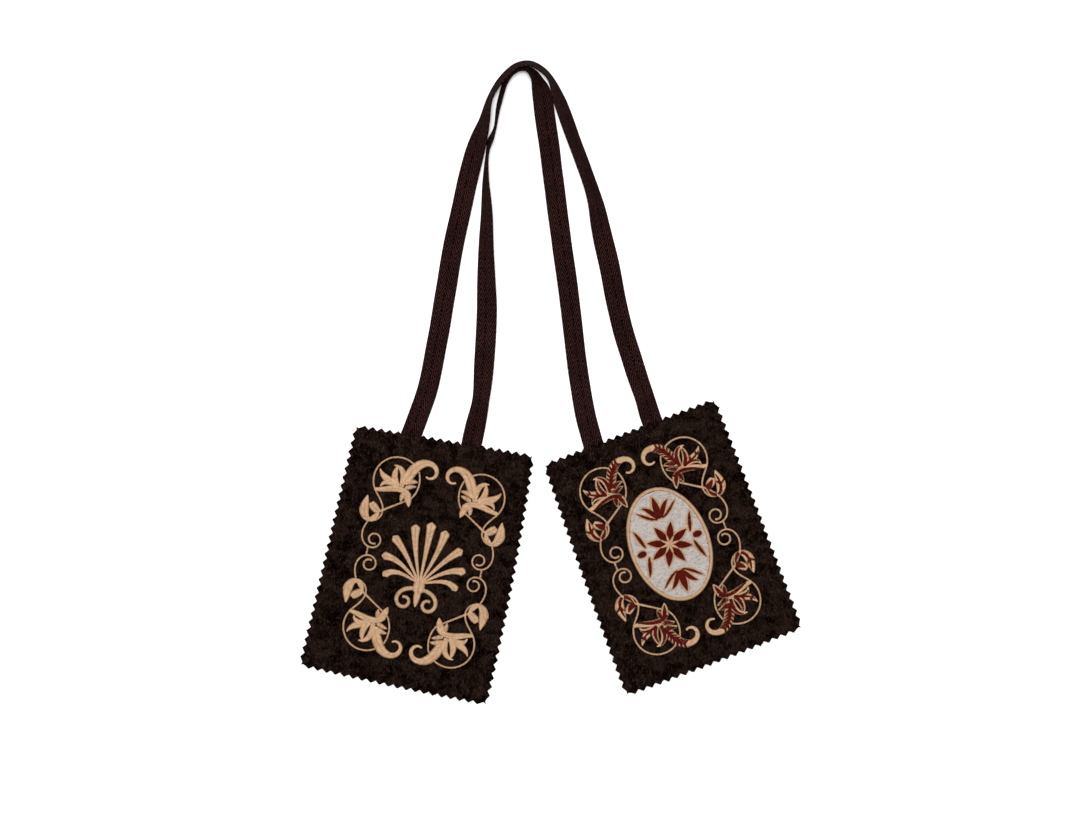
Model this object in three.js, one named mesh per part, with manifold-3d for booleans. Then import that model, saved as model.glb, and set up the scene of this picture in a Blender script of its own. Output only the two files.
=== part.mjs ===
// A brown wool scapular, laid flat: two pinked wool panels with embroidered
// vine frames, joined by a pair of woven shoulder tapes.
// Millimetres, +Z up, +Y from the panels towards the bend of the tapes,
// origin under the middle of the whole object.
import * as THREE from 'three';
import { mergeVertices } from 'three/addons/utils/BufferGeometryUtils.js';
import Module from 'manifold-3d';

// Driving dimensions
const woolThickness = 2.5;
const toothPitch = 4.5;
const toothDepth = 1.7;
const tapeWidth = 10.3;
const tapeThickness = 1;
const seamGap = 0.3;
const threadHeight = 0.6;
const tapeStep = 15;
const tapeTurnStep = 14;
const strokeTurnStep = 20;
const petalSteps = 4;
const bluntTip = 0.35;

// Corners of each panel on the middle line of its pinked teeth, how far each
// side bulges, and the middle and turn of the embroidery on it
const panels = {
  left: {
    topLeft: [-97.4, -21.2],
    topRight: [-8.9, -36.2],
    bottomRight: [-32.4, -160.3],
    bottomLeft: [-125.3, -140.5],
    bow: { left: 0, bottom: 0.7, right: 1.5, top: 0.2 },
    middle: [-63.4, -89.3],
    turn: -11.7,
  },
  right: {
    topLeft: [-3.4, -40.8],
    topRight: [81.7, -8],
    bottomRight: [125.2, -121.9],
    bottomLeft: [37.6, -155.6],
    bow: { left: 0.5, bottom: 0.7, right: 0.4, top: 0.3 },
    middle: [59.5, -81],
    turn: 20.9,
  },
};

// Routes of the two shoulder tapes. lean turns the tape about its own run:
// 0 lies flat, 90 stands on its outer edge, over 90 leans outwards.
const outerTape = [
  { x: -75.5, y: -39, lean: 0 },
  { x: -69, y: -23.5, lean: 0 },
  { x: -61.8, y: -3, lean: 2 },
  { x: -56.5, y: 22, lean: 4 },
  { x: -50, y: 62, lean: 6 },
  { x: -43.7, y: 92, lean: 12 },
  { x: -38.9, y: 112, lean: 16 },
  { x: -35.7, y: 122.5, lean: 33 },
  { x: -32.9, y: 130.5, lean: 50 },
  { x: -30, y: 142, lean: 72 },
  { x: -25.3, y: 152.5, lean: 83 },
  { x: -17.5, y: 159, lean: 84 },
  { x: -10.5, y: 159.8, lean: 79 },
  { x: -4, y: 156.8, lean: 76 },
  { x: 0, y: 151.5, lean: 74 },
  { x: 4, y: 142, lean: 60 },
  { x: 7.2, y: 132, lean: 51 },
  { x: 14.5, y: 113, lean: 47 },
  { x: 21.7, y: 92, lean: 43 },
  { x: 24.7, y: 78, lean: 24 },
  { x: 28.5, y: 62, lean: 6 },
  { x: 34.5, y: 32, lean: 9 },
  { x: 40.5, y: 12, lean: 2 },
  { x: 47, y: -8, lean: 18 },
  { x: 49.9, y: -17.3, lean: 0 },
  { x: 56, y: -33, lean: 0 },
];
const innerTape = [
  { x: -42.5, y: -44.5, lean: 0 },
  { x: -39.3, y: -28.5, lean: 0 },
  { x: -35.2, y: -9, lean: 32 },
  { x: -33.3, y: 11, lean: 10 },
  { x: -32, y: 34.5, lean: 10 },
  { x: -32.4, y: 67, lean: 42 },
  { x: -32.2, y: 86, lean: 59 },
  { x: -32.2, y: 102, lean: 72 },
  { x: -31, y: 116, lean: 88 },
  { x: -28.2, y: 127.5, lean: 99 },
  { x: -26, y: 138, lean: 101 },
  { x: -24, y: 148, lean: 99 },
  { x: -21.8, y: 152.3, lean: 96 },
  { x: -18.7, y: 155.5, lean: 93 },
  { x: -15.2, y: 157, lean: 91 },
  { x: -11.5, y: 156.8, lean: 86 },
  { x: -8.4, y: 154.9, lean: 68 },
  { x: -6.4, y: 151.7, lean: 50 },
  { x: -5.3, y: 147.5, lean: 33 },
  { x: -4.2, y: 142, lean: 18 },
  { x: -3.3, y: 134.5, lean: 6 },
  { x: -0.9, y: 117, lean: 10 },
  { x: 4.4, y: 77, lean: 14 },
  { x: 9.2, y: 42, lean: 14 },
  { x: 12.7, y: 13, lean: 18 },
  { x: 16.6, y: -13, lean: 8 },
  { x: 20.3, y: -27.5, lean: 0 },
  { x: 24.7, y: -42, lean: 0 },
];

// Embroidered strokes, from the panel's middle, u right and v up. Each starts
// at u, v with a heading in degrees, bends by bend0 to bend1 degrees a
// millimetre along its length, and is w0, w1, w2 wide at its start, in its
// pull and at its end. A stroke with no u and v goes on from the one before.
const ringBend = -4.9;
const smallRingBend = 10.2;
const vineQuarter = [
  { u: 12.5, v: 44.8, heading: 50, length: 36.2, bend0: ringBend, bend1: ringBend, w0: 1, w1: 1, w2: 1 },
  { heading: 0, length: 11.6, bend0: -2.4, bend1: 9.6, w0: 1, w1: 1, w2: 1 },
  { heading: 0, length: 17.5, bend0: smallRingBend, bend1: smallRingBend, w0: 1, w1: 1, w2: 1 },
  { u: 10.9, v: 42.2, heading: 252, length: 14.5, bend0: 3.6, bend1: 4.9, w0: 1, w1: 1, w2: 1 },
  { u: 13.4, v: 29.3, heading: -33, length: 16, bend0: 0, bend1: 0, w0: 1, w1: 1, w2: 1.4 },
  { u: 31.3, v: 15.2, heading: -62, length: 37.5, bend0: -2, bend1: -25.4, w0: 1, w1: 1, w2: 1.1 },
  { u: 29, v: 2.4, heading: -90, length: 2.25, bend0: 0, bend1: 0, w0: 1, w1: 1, w2: 1 },
  { u: 17.9, v: 36.6, heading: 117, length: 17, bend0: -2.5, bend1: 9.8, w0: 4.2, w1: 6.8, w2: 3.2 },
  { heading: 0, length: 14, bend0: 9.8, bend1: 22, w0: 3.2, w1: 2.2, w2: 1 },
  { u: 17.4, v: 37.2, heading: 172, length: 6.6, bend0: -9, bend1: 16, w0: 2.2, w1: 4.2, w2: 0.6 },
  { u: 16.8, v: 34.6, heading: 172, length: 5.6, bend0: -12, bend1: 16, w0: 2, w1: 3.6, w2: 0.6 },
  { u: 15.8, v: 32.6, heading: -124, length: 7.6, bend0: 5, bend1: 0, w0: 2.6, w1: 6, w2: 0.4 },
  { u: 16.6, v: 32.4, heading: -74, length: 5.2, bend0: 2, bend1: -12, w0: 2.2, w1: 4.2, w2: 0.4 },
  { u: 18.7, v: 34.8, heading: 101, length: 13.2, bend0: -2, bend1: -15, w0: 2.6, w1: 5, w2: 0.4 },
  { u: 20.4, v: 34.9, heading: 34, length: 10.9, bend0: 11, bend1: 3, w0: 2.6, w1: 5, w2: 0.4 },
  { u: 20, v: 34.6, heading: 24, length: 13.2, bend0: -3, bend1: 10, w0: 2.8, w1: 6, w2: 0.4 },
  { u: 20.4, v: 34.6, heading: 24, length: 10.2, bend0: -1, bend1: -20, w0: 2.6, w1: 4.6, w2: 0.4 },
  { u: 13.6, v: 30.8, heading: 53, length: 19, bend0: -10.6, bend1: 4.8, w0: 2.2, w1: 4.8, w2: 1.6 },
  { u: 31, v: 15.3, heading: 14, length: 13.6, bend0: 15.5, bend1: -4.5, w0: 2, w1: 8.2, w2: 0.4 },
  { u: 26.9, v: 20.2, heading: 24, length: 6.4, bend0: 4, bend1: 6, w0: 2, w1: 6.4, w2: 2.6 },
  { u: 31, v: 15.3, heading: 156, length: 6.8, bend0: -10, bend1: -7, w0: 2, w1: 4.6, w2: 0.8 },
];
const lobeTip = { length: 0.62, pull: 1.15, end: 0.5 }; // rounds off a lobe, by its own width
const palmetteLobes = [
  { u: 0, v: -9.5, heading: 90, length: 27, bend0: 0, bend1: 0, w0: 1.4, w1: 1.6, w2: 4.6 },
  { u: 0.6, v: -9.5, heading: 72, length: 25.5, bend0: -0.2, bend1: 1, w0: 1.2, w1: 1.6, w2: 4.4 },
  { u: 1, v: -9.5, heading: 52, length: 23, bend0: 0.6, bend1: -1.6, w0: 1.2, w1: 1.6, w2: 4.2 },
  { u: 1.3, v: -9.8, heading: 32, length: 20, bend0: 1.6, bend1: -4.6, w0: 1.2, w1: 1.6, w2: 4 },
  { u: 1.3, v: -10.2, heading: 12, length: 16.5, bend0: 3, bend1: -9, w0: 1.2, w1: 1.6, w2: 3.6 },
];
const palmetteFoot = [
  { u: 0, v: -13.4, heading: -4, length: 28.5, bend0: -0.5, bend1: -27, w0: 2.4, w1: 2.4, w2: 1.6 },
  { u: 0, v: -8.8, heading: -90, length: 6.4, bend0: 0, bend1: 0, w0: 5, w1: 7.2, w2: 4.6 },
  { u: 0, v: -14, heading: -90, length: 8.6, bend0: 0, bend1: 0, w0: 3, w1: 5, w2: 0.5 },
];

// Oval medallion on the right panel
const medallion = { rise: 0.9, halfWidth: 20.2, halfHeight: 29.3, rimWidth: 1.8, steps: 48 };
const rosette = { petals: 8, length: 12, width: 9.6, inner: 0.4, firstAngle: 22.5 };

const woolMaterial = new THREE.MeshStandardMaterial({ color: 0x241916, roughness: 0.95, metalness: 0 });
const tapeMaterial = new THREE.MeshStandardMaterial({ color: 0x2b1a1a, roughness: 0.8, metalness: 0 });
const tanMaterial = new THREE.MeshStandardMaterial({ color: 0xc29b70, roughness: 0.5, metalness: 0 });
const creamMaterial = new THREE.MeshStandardMaterial({ color: 0xcfccc8, roughness: 0.5, metalness: 0 });
const maroonMaterial = new THREE.MeshStandardMaterial({ color: 0x5c1a1c, roughness: 0.5, metalness: 0 });

const wasm = await Module();
wasm.setup();

// A closed geometry as a solid for joining and cutting.
function solidOf(geometry) {
  const bare = geometry.clone();
  bare.deleteAttribute('normal');
  bare.deleteAttribute('uv');
  const merged = mergeVertices(bare, 1e-4);
  return new wasm.Manifold(
    new wasm.Mesh({
      numProp: 3,
      vertProperties: new Float32Array(merged.attributes.position.array),
      triVerts: new Uint32Array(merged.index.array),
    }),
  );
}

function geometryOf(solid) {
  const mesh = solid.getMesh();
  const geometry = new THREE.BufferGeometry();
  geometry.setAttribute('position', new THREE.BufferAttribute(mesh.vertProperties, 3));
  geometry.setIndex(new THREE.BufferAttribute(mesh.triVerts, 1));
  geometry.computeVertexNormals();
  return geometry;
}

function piece(name, geometry, material) {
  const mesh = new THREE.Mesh(geometry, material);
  mesh.name = name;
  return mesh;
}

const radians = THREE.MathUtils.degToRad;

// Bends a straight bar of given section along stations. Each station has a
// middle point, and unit vectors across the bar and up through it.
function bar(stations, thickness, widthAt) {
  const last = stations.length - 1;
  const geometry = new THREE.BoxGeometry(1, last, 1, 1, last, 1);
  const place = geometry.getAttribute('position');
  for (let i = 0; i < place.count; i++) {
    const index = Math.round(place.getY(i) + last / 2);
    const { middle, across, up } = stations[index];
    const point = middle
      .clone()
      .addScaledVector(across, place.getX(i) * widthAt(index / last))
      .addScaledVector(up, place.getZ(i) * thickness);
    place.setXYZ(i, point.x, point.y, point.z);
  }
  return geometry;
}

// Stations of a shoulder tape, smoothed through its route. Its lower edge stays
// on the surface. The lean rides along as the curve's third coordinate.
function tapeStations(rows) {
  const degreesPerUnit = 10;
  const curve = new THREE.CatmullRomCurve3(
    rows.map((row) => new THREE.Vector3(row.x, row.y, row.lean / degreesPerUnit)),
    false,
    'centripetal',
  );
  const intervals = rows.length - 1;
  const at = (u) => {
    const point = curve.getPoint(u);
    const tangent = curve.getTangent(u).setZ(0).normalize();
    const lean = radians(Math.max(point.z, 0) * degreesPerUnit);
    const inward = new THREE.Vector3(tangent.y, -tangent.x, 0);
    const across = inward.multiplyScalar(Math.cos(lean)).setZ(Math.sin(lean));
    const height = (tapeWidth / 2) * Math.sin(lean) + (tapeThickness / 2) * Math.abs(Math.cos(lean));
    return {
      middle: new THREE.Vector3(point.x, point.y, height),
      across,
      up: new THREE.Vector3().crossVectors(across, tangent),
      tangent,
      lean,
    };
  };
  const stations = [];
  for (let k = 0; k < intervals; k++) {
    const from = at(k / intervals);
    const to = at((k + 1) / intervals);
    const turn = THREE.MathUtils.radToDeg(from.tangent.angleTo(to.tangent) + Math.abs(to.lean - from.lean));
    const length = from.middle.distanceTo(to.middle);
    const steps = Math.ceil(Math.max(length / tapeStep, turn / tapeTurnStep, 1));
    for (let j = 0; j < steps; j++) stations.push(at((k + j / steps) / intervals));
  }
  stations.push(at(1));
  return stations;
}

function tape(rows) {
  return bar(tapeStations(rows), tapeThickness, () => tapeWidth);
}

// The hollow that the sewn-down end of a tape presses into the wool.
function tapePocket(rows) {
  const stations = tapeStations(rows.slice(0, 3)).slice(0, -1);
  const [first, second] = stations;
  const backwards = new THREE.Vector3().subVectors(first.middle, second.middle).setLength(seamGap * 2);
  first.middle.add(backwards);
  return solidOf(bar(stations, tapeThickness + 2 * seamGap, () => tapeWidth + 2 * seamGap));
}

// One pinked side from corner to corner: teeth alternate in and out about the
// line, which bulges by bow in its middle. It starts on the corner's own tooth.
function pinkedSide({ from, to, bow }) {
  const start = new THREE.Vector2(...from);
  const run = new THREE.Vector2(...to).sub(start);
  const along = run.clone().normalize();
  const outward = new THREE.Vector2(along.y, -along.x);
  const halfTeeth = 2 * Math.round(run.length() / toothPitch);
  const corner = start
    .clone()
    .addScaledVector(outward, toothDepth / 2)
    .addScaledVector(along, -toothDepth / 2);
  const points = [corner];
  for (let i = 1; i < halfTeeth; i++) {
    const t = i / halfTeeth;
    const tooth = (i % 2 ? -0.5 : 0.5) * toothDepth;
    const bulge = 4 * bow * t * (1 - t);
    points.push(start.clone().addScaledVector(run, t).addScaledVector(outward, tooth + bulge));
  }
  return points;
}

function woolPanel(panel, pockets) {
  const { topLeft, topRight, bottomRight, bottomLeft, bow } = panel;
  const outline = [
    ...pinkedSide({ from: topLeft, to: bottomLeft, bow: bow.left }),
    ...pinkedSide({ from: bottomLeft, to: bottomRight, bow: bow.bottom }),
    ...pinkedSide({ from: bottomRight, to: topRight, bow: bow.right }),
    ...pinkedSide({ from: topRight, to: topLeft, bow: bow.top }),
  ];
  const plate = new THREE.ExtrudeGeometry(new THREE.Shape(outline), { depth: woolThickness, bevelEnabled: false });
  return geometryOf(pockets.reduce((wool, pocket) => wool.subtract(pocket), solidOf(plate)));
}

// Middle line of an embroidered stroke, as stations on the panel's own plane.
function strokeStations(stroke, start) {
  const turnAll = Math.abs(stroke.bend0 + stroke.bend1) * 0.5 * stroke.length;
  const steps = Math.ceil(Math.max(turnAll / strokeTurnStep, stroke.w1 > 2 * stroke.w2 ? petalSteps : 1));
  const fine = 8; // shorter steps inside each station, to follow the bend
  const step = stroke.length / (steps * fine);
  const headingAt = (s) =>
    radians(start.heading + stroke.bend0 * s + ((stroke.bend1 - stroke.bend0) * s * s) / (2 * stroke.length));
  const stations = [];
  let { u, v } = start;
  for (let i = 0; i <= steps * fine; i++) {
    const heading = headingAt(i * step);
    if (i % fine === 0) {
      stations.push({
        middle: new THREE.Vector3(u, v, 0),
        across: new THREE.Vector3(Math.sin(heading), -Math.cos(heading), 0),
        up: new THREE.Vector3(0, 0, 1),
        heading: THREE.MathUtils.radToDeg(heading),
      });
    }
    const between = headingAt((i + 0.5) * step);
    u += Math.cos(between) * step;
    v += Math.sin(between) * step;
  }
  return stations;
}

// A group of strokes fused into one raised patch of stitching.
function stitched(strokes) {
  let end = null;
  return strokes
    .map((stroke) => {
      const start =
        stroke.u === undefined
          ? { u: end.middle.x, v: end.middle.y, heading: end.heading + stroke.heading }
          : { u: stroke.u, v: stroke.v, heading: stroke.heading };
      const stations = strokeStations(stroke, start);
      end = stations.at(-1);
      const width = (t) =>
        Math.max(stroke.w0 * (1 - t) ** 2 + 2 * stroke.w1 * t * (1 - t) + stroke.w2 * t * t, bluntTip);
      return solidOf(bar(stations, threadHeight, width));
    })
    .reduce((whole, part) => whole.add(part));
}

// Moves a solid from the panel's own plane onto the face of the wool.
function onPanel(panel, solid, height = woolThickness + seamGap) {
  const [x, y] = panel.middle;
  return geometryOf(solid)
    .rotateZ(radians(panel.turn))
    .translate(x, y, height + threadHeight / 2);
}

function mirrored(solid, signU, signV) {
  const geometry = geometryOf(solid).scale(signU, signV, 1);
  if (signU * signV < 0) {
    const order = geometry.getIndex().array;
    for (let i = 0; i < order.length; i += 3) [order[i + 1], order[i + 2]] = [order[i + 2], order[i + 1]];
  }
  return solidOf(geometry);
}

// The four vines of a panel's frame, one for each corner.
function vineFrame(side) {
  const panel = panels[side];
  const quarter = stitched(vineQuarter)
    .trimByPlane([1, 0, 0], seamGap / 2)
    .trimByPlane([0, 1, 0], seamGap / 2);
  const corners = [
    { name: 'top_right', signU: 1, signV: 1 },
    { name: 'top_left', signU: -1, signV: 1 },
    { name: 'bottom_right', signU: 1, signV: -1 },
    { name: 'bottom_left', signU: -1, signV: -1 },
  ];
  return corners.map(({ name, signU, signV }) =>
    piece(`vine_${side}_${name}`, onPanel(panel, mirrored(quarter, signU, signV)), tanMaterial),
  );
}

function palmette() {
  const lobes = palmetteLobes.flatMap((row) => [
    row,
    {
      heading: 0,
      length: row.w2 * lobeTip.length,
      bend0: row.bend1,
      bend1: row.bend1,
      w0: row.w2,
      w1: row.w2 * lobeTip.pull,
      w2: lobeTip.end,
    },
  ]);
  const half = stitched([...lobes, ...palmetteFoot]);
  return piece('palmette', onPanel(panels.left, half.add(mirrored(half, -1, 1))), tanMaterial);
}

function ovalPlate(halfWidth, halfHeight, hole) {
  const shape = new THREE.Shape();
  shape.absellipse(0, 0, halfWidth, halfHeight, 0, 2 * Math.PI);
  if (hole) {
    const path = new THREE.Path();
    path.absellipse(0, 0, hole.halfWidth, hole.halfHeight, 0, 2 * Math.PI);
    shape.holes.push(path);
  }
  const plate = new THREE.ExtrudeGeometry(shape, {
    depth: threadHeight,
    bevelEnabled: false,
    curveSegments: medallion.steps,
  });
  return solidOf(plate.translate(0, 0, -threadHeight / 2));
}

function medallionPieces() {
  const { rise, halfWidth, halfHeight, rimWidth } = medallion;
  const inside = { halfWidth: halfWidth - rimWidth, halfHeight: halfHeight - rimWidth };
  const raised = (solid) => solid.translate([0, rise, 0]);
  const rim = ovalPlate(halfWidth, halfHeight, inside);
  const field = ovalPlate(inside.halfWidth - seamGap, inside.halfHeight - seamGap);
  const petals = [];
  for (let i = 0; i < rosette.petals; i++) {
    const heading = rosette.firstAngle + (360 * i) / rosette.petals;
    petals.push({
      u: rosette.inner * Math.cos(radians(heading)),
      v: rosette.inner * Math.sin(radians(heading)),
      heading,
      length: rosette.length,
      bend0: 0,
      bend1: 0,
      w0: rosette.width * 0.3,
      w1: rosette.width,
      w2: 0,
    });
  }
  const rosetteHeight = woolThickness + 2 * seamGap + threadHeight;
  return [
    piece('medallion_rim', onPanel(panels.right, raised(rim)), tanMaterial),
    piece('medallion_field', onPanel(panels.right, raised(field)), creamMaterial),
    piece('medallion_rosette', onPanel(panels.right, raised(stitched(petals)), rosetteHeight), maroonMaterial),
  ];
}

const outerEnds = { left: tapePocket(outerTape), right: tapePocket([...outerTape].reverse()) };
const innerEnds = { left: tapePocket(innerTape), right: tapePocket([...innerTape].reverse()) };

const scapular = new THREE.Group();
for (const side of ['left', 'right']) {
  const wool = woolPanel(panels[side], [outerEnds[side], innerEnds[side]]);
  scapular.add(piece(`wool_panel_${side}`, wool, woolMaterial), ...vineFrame(side));
}
scapular.add(
  piece('tape_outer', tape(outerTape), tapeMaterial),
  piece('tape_inner', tape(innerTape), tapeMaterial),
  palmette(),
  ...medallionPieces(),
);

export default scapular;
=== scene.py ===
import random
from math import copysign, cos, degrees, hypot, pi, radians, sin, sqrt, tan

import bmesh
import bpy
import numpy as np
from mathutils import Matrix, Vector, noise


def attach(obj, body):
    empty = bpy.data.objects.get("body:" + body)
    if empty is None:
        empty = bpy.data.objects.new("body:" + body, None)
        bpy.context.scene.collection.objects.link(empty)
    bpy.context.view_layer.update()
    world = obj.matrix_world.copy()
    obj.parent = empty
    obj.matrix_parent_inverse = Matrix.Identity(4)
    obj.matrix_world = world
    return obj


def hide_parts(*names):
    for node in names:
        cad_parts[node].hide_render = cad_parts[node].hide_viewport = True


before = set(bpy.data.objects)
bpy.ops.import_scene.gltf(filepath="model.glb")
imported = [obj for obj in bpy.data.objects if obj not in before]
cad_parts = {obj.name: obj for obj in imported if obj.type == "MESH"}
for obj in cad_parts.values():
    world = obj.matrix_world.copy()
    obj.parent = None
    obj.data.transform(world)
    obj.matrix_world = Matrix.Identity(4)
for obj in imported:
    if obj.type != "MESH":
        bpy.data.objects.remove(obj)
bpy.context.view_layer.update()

mm = 0.001
scene = bpy.context.scene
print("frame loaded:", len(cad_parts), "nodes")


# small helpers

def linear(*shades):  # a colour given as 0 to 255, as the renderer wants it
    parts = [shade / 255 for shade in shades]
    return (*(part / 12.92 if part <= 0.04045 else ((part + 0.055) / 1.055) ** 2.4 for part in parts), 1.0)


def smooth(t):
    t = min(max(t, 0.0), 1.0)
    return t * t * (3 - 2 * t)


def drift(x, y, z):
    return noise.noise(Vector((x, y, z)))


def toneOf(dice, middle, spread):
    return min(max(dice.gauss(middle, spread), 0), 1)


def runOf(steps):  # the way gone, from the steps between points
    return np.concatenate([[0], np.cumsum(steps)])


def setInputs(node, **values):  # From_Min stands for the input From Min
    for label, value in values.items():
        node.inputs[label.replace("_", " ")].default_value = value


def addObject(name, data):
    thing = bpy.data.objects.new(name, data)
    scene.collection.objects.link(thing)
    return thing


def linkObject(name, mesh, material):
    mesh.materials.clear()
    mesh.materials.append(material)
    mesh.shade_smooth()
    return addObject(name, mesh)


def closeUp(bm):
    bmesh.ops.holes_fill(bm, edges=[edge for edge in bm.edges if edge.is_boundary], sides=0)
    bmesh.ops.recalc_face_normals(bm, faces=bm.faces)


def meshFrom(bm, name):
    mesh = bpy.data.meshes.new(name)
    bm.to_mesh(mesh)
    bm.free()
    return mesh


# node groups that several materials share

def startGroup(name, outputs, **inputs):  # a vector goes in first, and numbers otherwise
    group = bpy.data.node_groups.new(name, "ShaderNodeTree")
    addSocket = group.interface.new_socket
    addSocket(name="Vector", in_out="INPUT", socket_type="NodeSocketVector")
    for label, value in inputs.items():
        addSocket(name=label, in_out="INPUT", socket_type="NodeSocketFloat").default_value = value
    for label in outputs:
        addSocket(name=label, in_out="OUTPUT", socket_type="NodeSocketFloat")
    return group, group.nodes.new("NodeGroupInput"), group.nodes.new("NodeGroupOutput")


def addMath(tree, operation, first, second=None, third=None):
    node = tree.nodes.new("ShaderNodeMath")
    node.operation = operation
    for socket, value in zip(node.inputs, (first, second, third)):
        if value is None:
            continue
        if isinstance(value, (int, float)):
            socket.default_value = value
        else:
            tree.links.new(value, socket)
    return node.outputs[0]


def addNoise(tree, vector, scale, detail=2.0, rough=0.5, distortion=0.0):
    node = tree.nodes.new("ShaderNodeTexNoise")
    setInputs(node, Scale=scale, Detail=detail, Roughness=rough, Distortion=distortion)
    tree.links.new(vector, node.inputs["Vector"])
    return node.outputs[0]


def addRange(tree, value, low, high, toLow=0.0, toHigh=1.0):
    node = tree.nodes.new("ShaderNodeMapRange")
    node.interpolation_type = "SMOOTHSTEP"
    tree.links.new(value, node.inputs["Value"])
    setInputs(node, From_Min=low, From_Max=high, To_Min=toLow, To_Max=toHigh)
    return node.outputs[0]


def addMix(tree, factor, first, second, blend="MIX"):
    node = tree.nodes.new("ShaderNodeMix")
    node.data_type = "RGBA"
    node.blend_type = blend
    factorIn, firstIn, secondIn = node.inputs[0], node.inputs[6], node.inputs[7]
    for socket, value in ((factorIn, factor), (firstIn, first), (secondIn, second)):
        if isinstance(value, (tuple, float, int)):
            socket.default_value = value
        else:
            tree.links.new(value, socket)
    return node.outputs[2]


def addTurned(tree, vector, turn, scale):
    node = tree.nodes.new("ShaderNodeMapping")
    node.vector_type = "TEXTURE"  # turns first, then stretches
    setInputs(node, Rotation=(0, 0, radians(turn)), Scale=scale)
    tree.links.new(vector, node.inputs["Vector"])
    return node.outputs[0]


fibreLook = {
    "turns": (20, 68, 84, 98, 115),  # directions the streaks run in, degrees
    "length": 1.7,  # mm
    "width": 0.42,  # mm
    "depth": 3.3,  # mm
    "waver": 0.0016,  # m
    "waverScale": 260,
}


def makeFibreStreaks():
    group, source, sink = startGroup("fibreStreaks", ["Mask"], Start=0.58, Full=0.72)
    waver = group.nodes.new("ShaderNodeTexNoise")
    setInputs(waver, Scale=fibreLook["waverScale"])
    group.links.new(source.outputs["Vector"], waver.inputs["Vector"])
    shift = group.nodes.new("ShaderNodeVectorMath")
    shift.operation = "MULTIPLY_ADD"
    shift.inputs[1].default_value = (fibreLook["waver"],) * 3
    group.links.new(waver.outputs["Color"], shift.inputs[0])
    group.links.new(source.outputs["Vector"], shift.inputs[2])
    total = None
    for turn in fibreLook["turns"]:
        stretch = [fibreLook[key] * mm for key in ("length", "width", "depth")]
        turned = addTurned(group, shift.outputs[0], turn, stretch)
        streak = addNoise(group, turned, 1.0, detail=1.0)
        ranged = group.nodes.new("ShaderNodeMapRange")
        group.links.new(streak, ranged.inputs["Value"])
        group.links.new(source.outputs["Start"], ranged.inputs["From Min"])
        group.links.new(source.outputs["Full"], ranged.inputs["From Max"])
        total = ranged.outputs[0] if total is None else addMath(group, "MAXIMUM", total, ranged.outputs[0])
    group.links.new(total, sink.inputs["Mask"])
    return group


weaveLook = {
    "rib": 2.6,  # mm between diagonal ribs, along the tape
    "band": 2.58,  # mm across one stripe of the herringbone
    "bandStart": 0.45,  # mm from the tape's edge
    "slope": 2.4,
    "wobble": 0.35,  # mm
    "pick": 0.52,  # mm between single weft threads
    "pickHeight": 0.16,
    "hole": 1.9,  # mm between the small holes down the middle, painted dark as shade
    "holeLine": 5.6,  # mm from the tape's edge
    "holeReach": 0.42,
    "holeDepth": 0.7,
    "holeDark": 0.3,
}


def makeTwillWeave():
    group, source, sink = startGroup("twillWeave", ["Height", "Mask"])

    def calc(operation, *values):
        return addMath(group, operation, *values)

    split = group.nodes.new("ShaderNodeSeparateXYZ")
    group.links.new(source.outputs["Vector"], split.inputs[0])
    across, along = split.outputs[0], split.outputs[1]
    zigzag = calc("PINGPONG", calc("ADD", across, -weaveLook["bandStart"]), weaveLook["band"])
    wobble = addNoise(group, source.outputs["Vector"], 0.9, detail=1.0)
    slanted = calc("MULTIPLY_ADD", zigzag, weaveLook["slope"], along)
    slanted = calc("MULTIPLY_ADD", wobble, weaveLook["wobble"], slanted)
    wave = calc("SINE", calc("MULTIPLY", slanted, 2 * pi / weaveLook["rib"]))
    rib = calc("MULTIPLY_ADD", wave, 0.5, 0.5)
    pick = calc("SINE", calc("MULTIPLY", along, 2 * pi / weaveLook["pick"]))
    height = calc("MULTIPLY_ADD", pick, weaveLook["pickHeight"], rib)
    offLine = calc("ABSOLUTE", calc("ADD", across, -weaveLook["holeLine"]))
    nearMiddle = calc("LESS_THAN", offLine, weaveLook["holeReach"])
    beat = calc("SINE", calc("MULTIPLY", along, 2 * pi / weaveLook["hole"]))
    hole = calc("MULTIPLY", nearMiddle, calc("GREATER_THAN", beat, 0.1))
    height = calc("MULTIPLY_ADD", hole, -weaveLook["holeDepth"], height)
    grain = addNoise(group, source.outputs["Vector"], 1.3, detail=3.0, rough=0.75)
    group.links.new(calc("MULTIPLY_ADD", grain, 0.5, height), sink.inputs["Height"])
    # painted shade: the colour mask is lower in the grooves between the ribs, with random grain on top
    ribShadeAndGrain = calc("MULTIPLY", calc("MULTIPLY_ADD", rib, 0.9, 0.1), grain)
    # painted shade: the holes are painted darker
    group.links.new(calc("MULTIPLY_ADD", hole, -weaveLook["holeDark"], ribShadeAndGrain), sink.inputs["Mask"])
    return group


plyLook = {"twist": 0.55, "lean": 0.42, "bump": (0.5, 0.06)}  # twist and lean: mm along and across one turn


def makeThreadPly():
    group, source, sink = startGroup("threadPly", ["Height"])
    split = group.nodes.new("ShaderNodeSeparateXYZ")
    group.links.new(source.outputs["Vector"], split.inputs[0])
    run = addMath(group, "MULTIPLY", split.outputs[0], 2 * pi / plyLook["twist"])
    side = addMath(group, "MULTIPLY", split.outputs[1], 2 * pi / plyLook["lean"])
    wave = addMath(group, "SINE", addMath(group, "ADD", run, side))
    group.links.new(addMath(group, "MULTIPLY_ADD", wave, 0.5, 0.5), sink.inputs["Height"])
    return group


fibreStreaks = makeFibreStreaks()
twillWeave = makeTwillWeave()
threadPly = makeThreadPly()


def placeGroup(tree, group, vector):
    node = tree.nodes.new("ShaderNodeGroup")
    node.node_tree = group
    tree.links.new(vector, node.inputs["Vector"])
    return node


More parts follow.
